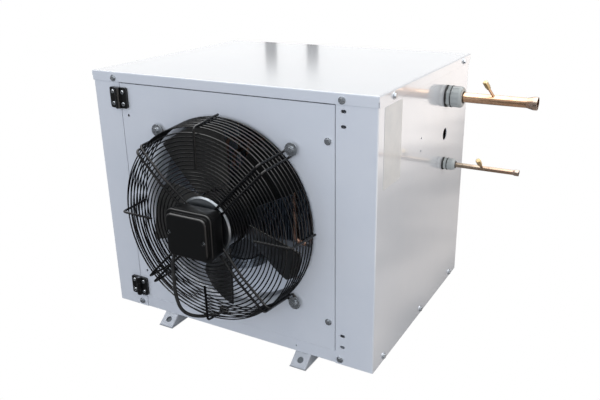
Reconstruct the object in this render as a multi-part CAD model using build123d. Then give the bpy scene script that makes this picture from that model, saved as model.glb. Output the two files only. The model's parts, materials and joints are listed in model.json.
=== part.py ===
from build123d import *
import math
import os

os.makedirs("parts", exist_ok=True)

# Refrigeration condensing unit in a sheet-metal casing, all sizes in millimetres.
# Working frame: X = 0 at the middle of the casing, Y = 0 at the front face with +Y to the back,
# Z = 0 at the floor. save() moves every piece to the part's own origin, which is the middle of
# the whole outline at floor level.

# ------------------------------------------------------------------ casing
casing_width = 600.0
casing_depth = 480.0
casing_height = 500.0
sheet = 1.5
seat = 0.2
panel_bend = 2.5
left_strip = 64.0
right_strip = 74.0
strip_lip = 12.0
rear_return = 30.0
foot_height = 20.0
foot_width = 33.0
foot_spread = 316.0
foot_nose = 22.0
foot_toe = 2.0
foot_sheet = 2.0
foot_hole_radius = 6.3
tray_flange = 24.5
tray_lip = 8.0
drain_radius = 9.0
drain_from_strip = 83.0
drain_from_front = 101.7
lid_flange = 19.0
lid_clearance = 0.3
left_tab = 13.0
cable_hole_radius = 12.0
small_hole_radius = 2.4
screw_inset = 48.0
slot_length = 9.5
slot_width = 5.5

# ------------------------------------------------------------------ door and hinges
door_gap = 1.5
door_depth = 16.0
door_bottom_gap = 1.5
door_top_gap = 2.0
door_hole_radius = 2.6
latch_from_low = 56.0
latch_from_high = 61.0
latch_inset = 12.5
frame_setback = 19.0
frame_side_cover = 20.0
frame_end_cover = 10.0
frame_latch_cover = 26.0
gasket_width = 8.0
gasket_clearance = 0.2
pin_standoff = 6.2
pin_radius = 2.5
pin_clearance = 0.05
barrel_radius = 5.5
hinge_height = 40.0
hinge_leaf = 5.0
hinge_reach = 20.5
hinge_screw_rise = 11.5
hinge_screw_offset = 12.0
hinge_inset_low = 23.0
hinge_inset_high = 27.5
knuckle_gap = 0.4
swing_clearance = 0.8

# ------------------------------------------------------------------ fan
fan_above_middle = 2.0
opening_share = 0.393
bellmouth_radius = 12.0
throat_length = 42.0
bolt_beyond_opening = 28.0
rim_beyond_opening = 6.0
foot_beyond_opening = 12.0
guard_depth = 78.0
spoke_root_radius = 45.0
knee_share = 0.63
knee_face = 80.0
ring_wire = 1.25
weld_gap = 0.3
weld_sink = 0.35
spoke_wire = 2.25
wire_sides = 8
spoke_spread = 7.0
ring_first = 68.0
ring_pitch = 7.0
side_ring_pitch = 9.5
washer_radius = 12.0
washer_thick = 2.0
motor_flange_radius = 57.0
motor_flange_face = 70.0
motor_flange_thick = 4.0
rotor_radius = 51.0
rotor_wall = 4.0
rotor_front = 60.0
rotor_back = 24.0
stator_radius = 43.5
shaft_radius = 6.0
shaft_clearance = 0.05
hub_thick = 4.0
hub_front = 14.0
hub_back = 20.0
blade_count = 5
blade_start = 28.0
blade_tip_clearance = 4.5
blade_thick = 3.0
box_width = 94.0
box_tall = 86.0
box_corner = 12.0
box_seat = 0.3
box_split = 104.0
box_front = 121.0
box_step = 4.0
motor_cable_radius = 3.25
box_gland_radius = 7.0
box_gland_length = 15.0

# ------------------------------------------------------------------ pipework outside the casing
gland_from_back = 140.0
suction_from_top = 64.0
liquid_from_top = 202.0
cable_hole_from_top = 141.0
suction_radius = 9.5
suction_reach = 172.5
suction_flare_radius = 12.5
suction_taper = 12.0
liquid_radius = 4.9
liquid_reach = 151.0
liquid_flare_radius = 6.1
liquid_taper = 4.0
pipe_wall = 1.0
socket_depth = 7.0
port_stem_radius = 2.6
port_cap_radius = 5.0
port_cap_length = 13.0

# ------------------------------------------------------------------ refrigeration circuit inside
coil_side_gap = 38.0
coil_top_gap = 30.0
coil_thick = 44.0
coil_core = 20.0
fin_pitch = 8.0
fin_thick = 2.0
coil_rows = 8
bend_tube_radius = 5.0
compressor_inset = 190.0
machinery_from_back = 190.0
compressor_radius = 82.0
compressor_headroom = 44.5
compressor_foot_gap = 4.2
compressor_seam_share = 0.62
suction_stub_reach = 26.0
discharge_stub_reach = 20.0
suction_entry_rise = 150.0
discharge_rise = 60.0
compressor_lift = 16.0
compressor_pattern = 165.0
receiver_inset = 135.0
receiver_radius = 45.0
receiver_headroom = 72.5
receiver_lift = 14.0
drier_radius = 20.0
drier_length = 110.0
line_radius = 6.0
inner_line_radius = 4.9

# ------------------------------------------------------------------ screws
cap_screw_radius = 6.3
cap_screw_head = 4.0
shank_radius = 2.6
small_head_radius = 3.8
small_head = 2.4
small_shank = 1.9
screw_clearance = 0.4
through = 5.0

half_width = casing_width / 2
base_z = foot_height
top_z = foot_height + casing_height
lid_half_x = half_width + lid_clearance + sheet
lid_bottom = top_z - lid_flange
tray_top = base_z + tray_flange
strip_left_edge = -half_width + left_strip
strip_right_edge = half_width - right_strip
door_left = strip_left_edge + door_gap
door_right = strip_right_edge - door_gap
door_low = tray_top + door_bottom_gap
door_high = lid_bottom - door_top_gap
fan_z = base_z + casing_height / 2 + fan_above_middle
opening_radius = opening_share * min(door_right - door_left, door_high - door_low)
guard_bolt_radius = opening_radius + bolt_beyond_opening
guard_rim_radius = opening_radius + rim_beyond_opening
guard_foot_radius = opening_radius + foot_beyond_opening
knee_radius = knee_share * opening_radius
hinge_levels = [door_low + hinge_inset_low, door_high - hinge_inset_high]
pin_x = strip_left_edge
pin_y = -pin_standoff
latch_x = door_right - latch_inset
latch_levels = [door_low + latch_from_low, door_high - latch_from_high]
gland_setback = casing_depth - gland_from_back
suction_z = top_z - suction_from_top
liquid_z = top_z - liquid_from_top
cable_hole_z = top_z - cable_hole_from_top
frame_back = frame_setback + sheet
coil_back = casing_depth - sheet - 6.0
coil_front = coil_back - coil_thick
coil_width = casing_width - 2 * coil_side_gap
coil_height = casing_height - coil_top_gap
compressor_x = half_width - compressor_inset
compressor_y = casing_depth - machinery_from_back
receiver_x = receiver_inset - half_width
receiver_y = compressor_y
inner_half = half_width - sheet - seat
tray_floor = base_z + sheet

x_shift = -(suction_reach + half_width - lid_half_x - cap_screw_head) / 2
y_shift = -((casing_depth + foot_nose) - box_front) / 2
to_origin = Pos(x_shift, y_shift, 0)


def block(x0, x1, y0, y1, z0, z1):
    """A box given by its limits."""
    middle = Pos((x0 + x1) / 2, (y0 + y1) / 2, (z0 + z1) / 2)
    return middle * Box(x1 - x0, y1 - y0, z1 - z0)


def rod_y(x, z, radius, y0, y1):
    """A round bar along Y."""
    return Pos(x, (y0 + y1) / 2, z) * Rot(90, 0, 0) * Cylinder(radius, abs(y1 - y0))


def rod_x(y, z, radius, x0, x1):
    """A round bar along X."""
    return Pos((x0 + x1) / 2, y, z) * Rot(0, 90, 0) * Cylinder(radius, abs(x1 - x0))


def rod_z(x, y, radius, z0, z1):
    """A round bar along Z."""
    return Pos(x, y, (z0 + z1) / 2) * Cylinder(radius, abs(z1 - z0))


def turned(points):
    """A solid of revolution about Y from (radius, y) points."""
    profile = make_face(Polyline(*points, close=True))
    return revolve(profile, Axis.Y)


def turned_z(points):
    """A solid of revolution about Z from (radius, z) points."""
    profile = Plane.XZ * make_face(Polyline(*points, close=True))
    return revolve(profile, Axis.Z)


def tube(points, radii, radius):
    """A round bar swept along straight runs joined by tangent arcs."""
    path = FilletPolyline(*points, radius=radii)
    start = Plane(origin=path @ 0, z_dir=path % 0)
    return sweep(start * Circle(radius), path=path)


def wire(points, radii, radius):
    """A thin bar like tube, with an even many-sided section."""
    path = FilletPolyline(*points, radius=radii)
    start = Plane(origin=path @ 0, z_dir=path % 0)
    return sweep(start * RegularPolygon(radius, wire_sides), path=path)


def save(name, *pieces):
    """Write one node; several pieces stay separate solids."""
    solids = [s for piece in pieces for s in piece.solids()]
    shape = solids[0] if len(solids) == 1 else Compound(children=solids)
    export_step(to_origin * shape, "parts/" + name + ".step")


def joined(first, *others):
    """One solid from pieces that meet."""
    return first.fuse(*others).clean() if others else first


# ------------------------------------------------------------------ screw places
lid_screw_front = [(-half_width + 53.0, top_z - 12.0), (half_width - 62.0, top_z - 12.0)]
lid_screw_side = [(y, top_z - 10.0) for y in (screw_inset + 10.0, casing_depth - screw_inset + 3.0)]
base_screw_side = [
    (y, base_z + 10.0) for y in (screw_inset, casing_depth / 2 + 2.0, casing_depth - screw_inset)
]
base_screw_front = [(strip_left_edge - 1.0, base_z + 10.0), (strip_right_edge + 9.0, base_z + 10.0)]
guard_bolt_offset = guard_bolt_radius * math.sqrt(0.5)
guard_bolts = [
    (sx * guard_bolt_offset, fan_z + sz * guard_bolt_offset) for sx in (-1, 1) for sz in (-1, 1)
]
door_small_holes = [(pin_x + 17.0, hinge_levels[1] - 34.0), (pin_x + 21.0, hinge_levels[0] + 38.0)]
slot_levels = [top_z - 30.0, top_z - 55.0, base_z + 60.0, base_z + 37.0]
strip_slots = [(strip_right_edge + 14.0, z) for z in slot_levels]
side_small_holes = [(201.0, cable_hole_z + z) for z in (25.0, 1.0)]
grommet_x = -20.0
grommet_z = fan_z - guard_foot_radius - 17.0
grommet_radius = 7.5


def hex_screw_y(x, z, face, shank_end):
    """Hexagon flange screw whose head stands on a face that looks to -Y."""
    washer = rod_y(x, z, cap_screw_radius, face - 1.2, face)
    head = Pos(x, face - 1.2, z) * Rot(90, 0, 0) * extrude(
        RegularPolygon(cap_screw_radius * 0.74, 6), cap_screw_head - 1.2
    )
    shank = rod_y(x, z, shank_radius, face, shank_end)
    return joined(washer, head, shank)


def hex_screw_x(y, z, side, face, length):
    """Hexagon flange screw whose head stands on a face that looks along side * X."""
    upright = hex_screw_y(0, 0, 0, length)
    return Pos(side * face, y, z) * Rot(0, 0, side * 90) * upright


def pan_screw_y(x, z, face, shank_end):
    """Small cross-head screw on a face that looks to -Y."""
    head = rod_y(x, z, small_head_radius, face - small_head, face)
    head = fillet(head.edges().group_by(Axis.Y)[0], 1.2)
    recess = block(x - 2.0, x + 2.0, face - small_head - 0.1, face - small_head + 0.9, z - 0.5, z + 0.5)
    cross = block(x - 0.5, x + 0.5, face - small_head - 0.1, face - small_head + 0.9, z - 2.0, z + 2.0)
    shank = rod_y(x, z, small_shank, face, shank_end)
    return joined(head, shank) - recess - cross


def screw_hole_x(y, z, side, face):
    """Clearance hole for a sheet screw through the sheet at side * face."""
    return rod_x(y, z, shank_radius + screw_clearance, side * (face - through), side * (face + through))


def screw_hole_y(x, z, y):
    """Clearance hole for a sheet screw through the sheet at y."""
    return rod_y(x, z, shank_radius + screw_clearance, y - through, y + through)


def hinge_holes_y(x, level, y):
    """The two screw holes of one hinge leaf, one above the other."""
    holes = [rod_y(x, level + rise, small_shank + screw_clearance, y - 8.0, y + 8.0)
             for rise in (-hinge_screw_rise, hinge_screw_rise)]
    return holes


# ------------------------------------------------------------------ casing sheets
def side_panel(side, strip):
    """Side sheet with a front strip, an inward lip on it and a rear return."""
    edge = half_width - strip
    points = [
        (edge, 0),
        (half_width, 0),
        (half_width, casing_depth),
        (half_width - rear_return, casing_depth),
        (half_width - rear_return, casing_depth - sheet),
        (half_width - sheet, casing_depth - sheet),
        (half_width - sheet, sheet),
        (edge + sheet, sheet),
        (edge + sheet, strip_lip),
        (edge, strip_lip),
    ]
    face = make_face(Polyline(*points, close=True))
    outer = [v for v in face.vertices() if v.X > half_width - 0.01]
    face = fillet(outer, panel_bend)
    tall = casing_height - sheet - seat
    panel = Pos(0, 0, base_z) * extrude(face, tall)
    room = block(edge - 1, half_width - sheet, sheet, strip_lip + 1, base_z - 1, tray_top + seat)
    panel = panel - room
    if side < 0:
        panel = mirror(panel, Plane.YZ)
    for y, z in base_screw_side + lid_screw_side:
        panel = panel - screw_hole_x(y, z, side, half_width)
    for x, z in base_screw_front + lid_screw_front:
        if x * side > 0:
            panel = panel - screw_hole_y(x, z, 0)
    return panel


def make_left_panel():
    tab = block(strip_left_edge - 1, strip_left_edge + left_tab, 0, sheet, base_z, tray_top - 1.0)
    panel = joined(side_panel(-1, left_strip), tab)
    for x, z in base_screw_front:
        panel = panel - screw_hole_y(x, z, 0)
    for level in hinge_levels:
        panel = panel - hinge_holes_y(pin_x - hinge_screw_offset, level, 0)
    return panel


def make_right_panel():
    panel = side_panel(1, right_strip)
    for z, gland in ((suction_z, suction_gland), (liquid_z, liquid_gland)):
        panel = panel - rod_x(gland_setback, z, gland["thread"] + 0.5, half_width - 5, half_width + 5)
    panel = panel - rod_x(gland_setback, cable_hole_z, cable_hole_radius, half_width - 5, half_width + 5)
    for y, z in side_small_holes:
        panel = panel - rod_x(y, z, small_hole_radius, half_width - 5, half_width + 5)
    for x, z in strip_slots:
        slot = extrude(SlotOverall(slot_length, slot_width), sheet + 2)
        panel = panel - Pos(x, sheet + 1, z) * Rot(90, 0, 0) * slot
    return panel


def make_tray():
    front = sheet + seat
    back = casing_depth - sheet - seat
    outer = block(-inner_half, inner_half, front, back, base_z, tray_top)
    inner = block(
        -inner_half + sheet, inner_half - sheet, front + sheet, back - sheet, tray_floor, tray_top + 1
    )
    lip_back = front + sheet + tray_lip
    lip = block(-inner_half + sheet, inner_half - sheet, front + sheet, lip_back, tray_top - sheet, tray_top)
    tray = joined(outer - inner, lip)
    front_edge = tray.edges().filter_by(Axis.X).group_by(Axis.Z)[-1].sort_by(Axis.Y)[0]
    tray = fillet(front_edge, sheet * 0.9)
    for y, z in base_screw_side:
        for side in (-1, 1):
            tray = tray - screw_hole_x(y, z, side, inner_half)
    for x, z in base_screw_front:
        tray = tray - screw_hole_y(x, z, front)
    drain_x = strip_right_edge - drain_from_strip
    drain = rod_z(drain_x, drain_from_front, drain_radius, base_z - 1, tray_floor + 1)
    small = rod_y(drain_x, base_z + 11.0, 2.0, front - 1, front + sheet + 1)
    for x, y in compressor_feet:
        tray = tray - rod_z(x, y, compressor_stud + screw_clearance, base_z - 1, tray_floor + 1)
    return tray - drain - small


def make_lid():
    front = -lid_clearance - sheet
    back = casing_depth + lid_clearance + sheet
    outer = block(-lid_half_x, lid_half_x, front, back, lid_bottom, top_z)
    outer = fillet(outer.edges().filter_by(Axis.Z), 1.2)
    outer = fillet(outer.edges().group_by(Axis.Z)[-1], panel_bend)
    inner = block(
        -lid_half_x + sheet, lid_half_x - sheet, front + sheet, back - sheet, lid_bottom - 1, top_z - sheet
    )
    lid = outer - inner
    for side in (-1, 1):
        x = side * (lid_half_x - sheet / 2)
        for y in (front + sheet / 2, back - sheet / 2):
            lid = lid - rod_z(x, y, 1.3, lid_bottom - 1, lid_bottom + 9)
        for y, z in lid_screw_side:
            lid = lid - screw_hole_x(y, z, side, lid_half_x)
    for x, z in lid_screw_front:
        lid = lid - screw_hole_y(x, z, front) - screw_hole_y(x, z, back)
    return lid


def make_foot(side):
    """Inverted channel rail whose two ends slope down past the casing."""
    back = casing_depth
    outline = [
        (-foot_nose, 0),
        (-foot_nose, foot_toe),
        (0, foot_height),
        (back, foot_height),
        (back + foot_nose, foot_toe),
        (back + foot_nose, 0),
    ]
    slope = math.atan2(foot_height - foot_toe, foot_nose)
    drop = foot_sheet / math.cos(slope)
    inside = [
        (-foot_nose + foot_sheet + 1.5, -1),
        (-foot_nose + foot_sheet + 1.5, foot_toe + (foot_sheet + 1.5) * math.tan(slope) - drop),
        (foot_sheet * 0.4, foot_height - foot_sheet),
        (back - foot_sheet * 0.4, foot_height - foot_sheet),
        (back + foot_nose - foot_sheet - 1.5, foot_toe + (foot_sheet + 1.5) * math.tan(slope) - drop),
        (back + foot_nose - foot_sheet - 1.5, -1),
    ]
    rail = extrude(Plane.YZ * make_face(Polyline(*outline, close=True)), foot_width / 2, both=True)
    ramp_edges = rail.edges().filter_by(lambda e: 0.5 < abs(e.tangent_at(0.5).Z) < 0.9)
    rail = fillet(ramp_edges, 2.0)
    hollow = extrude(
        Plane.YZ * make_face(Polyline(*inside, close=True)), foot_width / 2 - foot_sheet, both=True
    )
    rail = rail - hollow
    drill = Cylinder(foot_hole_radius, 14)
    for nose, turn in ((-foot_nose / 2, 1), (back + foot_nose / 2, -1)):
        place = Pos(0, nose, (foot_height + foot_toe) / 2) * Rot(turn * math.degrees(slope), 0, 0)
        rail = rail - place * drill
    return Pos(side * foot_spread / 2, 0, 0) * rail


def make_door_frame():
    plate = block(-inner_half, inner_half, frame_setback, frame_back, tray_top + seat, top_z - sheet - seat)
    opening = block(
        door_left + frame_side_cover,
        door_right - frame_latch_cover,
        frame_setback - 1,
        frame_back + 1,
        door_low + frame_end_cover,
        door_high - frame_end_cover,
    )
    frame = plate - opening
    for z in latch_levels:
        frame = frame - rod_y(latch_x, z, shank_radius + 2.0, frame_setback - 1, frame_back + 1)
    return frame


def make_gasket():
    y0 = door_depth + gasket_clearance
    y1 = frame_setback - gasket_clearance
    outer = block(door_left, door_right, y0, y1, door_low, door_high)
    inner = block(
        door_left + gasket_width,
        door_right - gasket_width,
        y0 - 1,
        y1 + 1,
        door_low + gasket_width,
        door_high - gasket_width,
    )
    return outer - inner


# ------------------------------------------------------------------ door and its hinges
def make_door():
    shell = block(door_left, door_right, 0, door_depth, door_low, door_high)
    shell = fillet(shell.edges().filter_by(Axis.Y), 1.2)
    hollow = block(
        door_left + sheet, door_right - sheet, sheet, door_depth + 1, door_low + sheet, door_high - sheet
    )
    mouth = opening_radius + bellmouth_radius
    door = shell - hollow - rod_y(0, fan_z, mouth, -1, sheet + 1)
    with BuildSketch() as ring_profile:
        with BuildLine():
            RadiusArc((mouth, 0), (opening_radius, bellmouth_radius), bellmouth_radius)
            Line((opening_radius, bellmouth_radius), (opening_radius, throat_length))
            Line((opening_radius, throat_length), (opening_radius + sheet, throat_length))
            Line((opening_radius + sheet, throat_length), (opening_radius + sheet, bellmouth_radius))
            RadiusArc((opening_radius + sheet, bellmouth_radius), (mouth, sheet), sheet - bellmouth_radius)
            Line((mouth, sheet), (mouth, 0))
        make_face()
    ring = Pos(0, 0, fan_z) * revolve(ring_profile.sketch, Axis.Y)
    door = joined(door, ring)
    for x, z in guard_bolts:
        door = door - rod_y(x, z, 3.3, -1, sheet + 1)
    for x, z in door_small_holes:
        door = door - rod_y(x, z, door_hole_radius, -1, sheet + 1)
    for z in latch_levels:
        door = door - screw_hole_y(latch_x, z, 0)
    for level in hinge_levels:
        door = door - hinge_holes_y(pin_x + hinge_screw_offset, level, 0)
    return door - rod_y(grommet_x, grommet_z, grommet_radius, -1, sheet + 1)


def hinge_leaf_pair(level):
    """Moulded hinge: a fixed leaf with two knuckles and a door leaf with one between them."""
    third = hinge_height / 3
    low, high = level - hinge_height / 2, level + hinge_height / 2
    mid_low, mid_high = low + third, high - third
    back = -seat

    def knuckle(z0, z1, web_side):
        barrel = rod_z(pin_x, pin_y, barrel_radius, z0, z1)
        x_web = pin_x + web_side * barrel_radius
        web = block(min(x_web, pin_x), max(x_web, pin_x), pin_y - 3.0, back - 0.2, z0, z1)
        return joined(barrel, web)

    def leaf(x0, x1):
        plate = block(x0, x1, back - hinge_leaf, back, low, high)
        outer_x = x0 if x0 < pin_x - 5 else x1
        corners = [e for e in plate.edges().filter_by(Axis.Y) if abs(e.center().X - outer_x) < 0.1]
        plate = fillet(corners, 4.0)
        return plate

    def clear(z0, z1):
        return rod_z(pin_x, pin_y, barrel_radius + swing_clearance, z0 - knuckle_gap, z1 + knuckle_gap)

    bore = rod_z(pin_x, pin_y, pin_radius + pin_clearance, low - 1, high + 1)
    fixed = leaf(pin_x - hinge_reach, pin_x - 0.8) - clear(mid_low, mid_high)
    end_knuckles = [knuckle(low, mid_low - knuckle_gap, -1), knuckle(mid_high + knuckle_gap, high, -1)]
    fixed = joined(fixed, *end_knuckles) - bore
    moving = leaf(pin_x + 0.8, pin_x + hinge_reach) - clear(low - 5, mid_low) - clear(mid_high, high + 5)
    moving = joined(moving, knuckle(mid_low, mid_high, 1)) - bore
    fixed = fixed - hinge_holes_y(pin_x - hinge_screw_offset, level, back)
    moving = moving - hinge_holes_y(pin_x + hinge_screw_offset, level, back)
    pin = rod_z(pin_x, pin_y, pin_radius, low + 0.5, high - 0.5)
    return fixed, moving, pin


# ------------------------------------------------------------------ wire guard
def spoke_face(radius):
    """How far in front of the panel the spoke wires run at a radius."""
    inner_face = motor_flange_face + spoke_wire + 0.1
    if radius < knee_radius:
        share = (radius - spoke_root_radius) / (knee_radius - spoke_root_radius)
        return inner_face + share * (knee_face - inner_face)
    share = (radius - knee_radius) / (guard_rim_radius - knee_radius)
    return knee_face + share * (guard_depth - knee_face)


def leg_radius(face):
    """Radius of the guard's side wires at a distance in front of the panel."""
    return guard_foot_radius + (guard_rim_radius - guard_foot_radius) * face / guard_depth


def double_spoke(angle):
    """Two parallel wires from the motor that end in one loop round a mounting bolt."""
    foot = spoke_wire + 0.4
    loop_end = guard_bolt_radius + spoke_spread
    half = [
        (spoke_root_radius, -spoke_face(spoke_root_radius)),
        (knee_radius, -knee_face),
        (guard_rim_radius, -guard_depth),
        (guard_foot_radius, -foot),
        (loop_end, -foot),
    ]
    points = [(r, y, spoke_spread) for r, y in half] + [(r, y, -spoke_spread) for r, y in reversed(half)]
    radii = [40.0, 9.0, 5.0, spoke_spread - 0.05, spoke_spread - 0.05, 5.0, 9.0, 40.0]
    return Pos(0, 0, fan_z) * Rot(0, -angle, 0) * wire(points, radii, spoke_wire)


def single_spoke(angle):
    points = [
        (knee_radius, -knee_face, 0),
        (guard_rim_radius, -guard_depth, 0),
        (guard_foot_radius + 1.0, -8.0, 0),
    ]
    return Pos(0, 0, fan_z) * Rot(0, -angle, 0) * wire(points, [7.0], spoke_wire)


def guard_ring(radius, face):
    """One wire ring, turned from a hexagon that keeps its face count low."""
    corners = [math.radians(60 * i) for i in range(6)]
    section = [(radius + ring_wire * math.cos(a), ring_wire * math.sin(a) - face) for a in corners]
    return at_fan(turned(section))


def make_guard_rings():
    """The flat grille: rings of growing radius behind the front runs of the spokes."""
    behind = spoke_wire + ring_wire + weld_gap
    count = int((guard_rim_radius - 9.0 - ring_first) / ring_pitch) + 1
    radii = [ring_first + i * ring_pitch for i in range(count)]
    return [guard_ring(radius, spoke_face(radius) - behind) for radius in radii]


def make_guard_spokes():
    """The welded cage: double spokes, single spokes and the rings along the guard's side."""
    spokes = [double_spoke(angle) for angle in (45, 135, 225, 315)]
    spokes += [single_spoke(angle) for angle in (0, 90, 180, 270)]
    inside = spoke_wire + ring_wire - weld_sink
    count = int((guard_depth - 20.0) / side_ring_pitch) + 1
    faces = [guard_depth - 12.0 - i * side_ring_pitch for i in range(count)]
    rings = [guard_ring(leg_radius(face) - inside, face) for face in faces]
    return rings[0].fuse(*rings[1:], *spokes)


# ------------------------------------------------------------------ fan motor
def at_fan(shape):
    return Pos(0, 0, fan_z) * shape


def make_motor_flange():
    face = -motor_flange_face
    boss = 30.0
    boss_face = 0.2 - box_back
    points = [
        (shaft_radius + 8.0, boss_face),
        (boss, boss_face),
        (boss, face),
        (motor_flange_radius - 3.0, face),
        (motor_flange_radius, face + 2.0),
        (motor_flange_radius, face + motor_flange_thick),
        (boss + 4.0, face + motor_flange_thick),
        (boss + 2.0, -rotor_front - 1.0),
        (shaft_radius + 8.0, -rotor_front - 1.0),
    ]
    return at_fan(turned(points))


def make_stator():
    inner = shaft_radius + shaft_clearance
    points = [
        (inner, -rotor_front - 0.9),
        (stator_radius - 9.0, -rotor_front - 0.9),
        (stator_radius, -rotor_front + 6.0),
        (stator_radius, rotor_back - rotor_wall - 12.0),
        (stator_radius - 8.0, rotor_back - rotor_wall - 4.0),
        (inner, rotor_back - rotor_wall - 4.0),
    ]
    return at_fan(turned(points))


def make_rotor():
    cup = [
        (0, rotor_back),
        (rotor_radius - 6.0, rotor_back),
        (rotor_radius, rotor_back - 6.0),
        (rotor_radius, -rotor_front),
        (rotor_radius - rotor_wall, -rotor_front),
        (rotor_radius - rotor_wall, rotor_back - rotor_wall - 4.0),
        (rotor_radius - rotor_wall - 4.0, rotor_back - rotor_wall),
        (0, rotor_back - rotor_wall),
    ]
    return at_fan(turned(cup))


def make_shaft():
    return rod_y(0, fan_z, shaft_radius, -rotor_front + 4.0, rotor_back - rotor_wall - 0.1)


def blade_section(radius, chord, pitch, lead):
    """One chord line of a blade, standing square to the radius."""
    plane = Plane(origin=(radius, 0, 0), x_dir=(0, 0, 1), z_dir=(1, 0, 0))
    turn = Rot(0, -lead, 0)
    shape = Rot(0, 0, pitch) * RectangleRounded(chord, blade_thick, blade_thick * 0.45)
    return turn * plane * shape


def make_impeller():
    hub_inner = rotor_radius + 0.3
    hub_outer = hub_inner + hub_thick
    hub = [(hub_inner, -hub_front), (hub_outer, -hub_front), (hub_outer, hub_back), (hub_inner, hub_back)]
    hub = at_fan(turned(hub))
    tip = opening_radius - blade_tip_clearance
    sections = [
        blade_section(hub_outer - 1.5, 62.0, 34.0, 0.0),
        blade_section(hub_outer + 0.35 * (tip - hub_outer), 88.0, 29.0, 7.0),
        blade_section(hub_outer + 0.7 * (tip - hub_outer), 112.0, 25.0, 17.0),
        blade_section(tip + 12.0, 132.0, 21.0, 30.0),
    ]
    blade = loft(Sketch() + sections, ruled=False)
    keep = rod_y(0, 0, tip, -80, 80) - rod_y(0, 0, hub_inner + 0.2, -81, 81)
    blade = (blade & keep).solids().sort_by(SortBy.VOLUME)[-1]
    blades = [at_fan(Rot(0, blade_start + i * 360 / blade_count, 0) * blade) for i in range(blade_count)]
    return joined(hub, *blades)


# ------------------------------------------------------------------ motor terminal box
def rounded_slab(width, tall, corner, y0, y1):
    face = RectangleRounded(width, tall, corner)
    return at_fan(Pos(0, y1, 0) * Rot(90, 0, 0) * extrude(face, y1 - y0))


box_wall = 3.0
box_rim = 1.5
box_screws = [(box_width / 2 - 10.0, fan_z - 4.0), (-box_width / 2 + 10.0, fan_z + 4.0)]
box_gland_angle = 35.0
box_corner_reach = math.hypot(box_width / 2 - box_corner, box_tall / 2 - box_corner) + box_corner
box_back = spoke_face(box_corner_reach) + spoke_wire + box_seat
box_gland_place = (
    Pos(-box_width / 2 + 4.0, -(box_back + box_split) / 2 - 0.3, fan_z - box_tall / 2 + 4.0)
    * Rot(0, 180 + box_gland_angle, 0)
)


def box_slab(margin, y0, y1):
    """A slab of the terminal box's outline, wider by a margin on every side."""
    return rounded_slab(box_width + 2 * margin, box_tall + 2 * margin, box_corner + margin, y0, y1)


def make_box_base():
    base = box_slab(0, -box_split, -box_back)
    base = fillet(base.edges().group_by(Axis.Y)[-1], 4.0)
    rim = box_slab(box_rim, -box_split, -box_split + 4.0)
    hollow = box_slab(-box_wall, -box_split - 1, -box_back - 4.0)
    base = joined(base, rim) - hollow
    return base - box_gland_place * Cylinder(box_gland_radius - 1.2, 24.0)


def make_box_lid():
    lid = box_slab(box_rim, -box_split - 8.0, -box_split - 0.1)
    top = rounded_slab(
        box_width - 2 * box_step, box_tall - 2 * box_step, box_corner, -box_front, -box_split - 7.0
    )
    lid = fillet(lid.edges().group_by(Axis.Y)[0], 2.0)
    top = fillet(top.edges().group_by(Axis.Y)[0], 3.5)
    lid = joined(lid, top)
    for x, z in box_screws:
        lid = lid - rod_y(x, z, 4.2, -box_front - 1, -box_front + 5.0)
        lid = lid - rod_y(x, z, 1.9, -box_front - 1, -box_split + 1)
    return lid


def make_box_gland():
    stub = rod_z(0, 0, box_gland_radius - 1.5, 3.5, 9.5)
    nut = Pos(0, 0, 9.5) * extrude(RegularPolygon(box_gland_radius, 6), 4.0)
    dome = turned_z([(0, 13.5), (box_gland_radius - 0.6, 13.5), (box_gland_radius - 2.4, 20.5), (0, 20.5)])
    body = joined(stub, nut, dome)
    body = body - Cylinder(motor_cable_radius + 0.2, 60)
    return box_gland_place * body


# ------------------------------------------------------------------ glands in the side panel
suction_gland = {"thread": 17.0, "flange": 21.6, "hex": 21.5, "dome": 20.5, "length": 33.0}
liquid_gland = {"thread": 9.0, "flange": 12.8, "hex": 12.4, "dome": 11.6, "length": 26.0}


gland_bore_clearance = 0.3
insert_wall = 2.0
seal_thick = 3.4
thread_depth = 14.0
gland_hex_share = 0.22
groove_width = 1.7
locknut_thick = 5.0
nut_ribs = 12


def along_x(shape, z):
    """Turn a piece built about Z so that it points out of the right panel."""
    return Pos(half_width, gland_setback, z) * Rot(0, 90, 0) * shape


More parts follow.
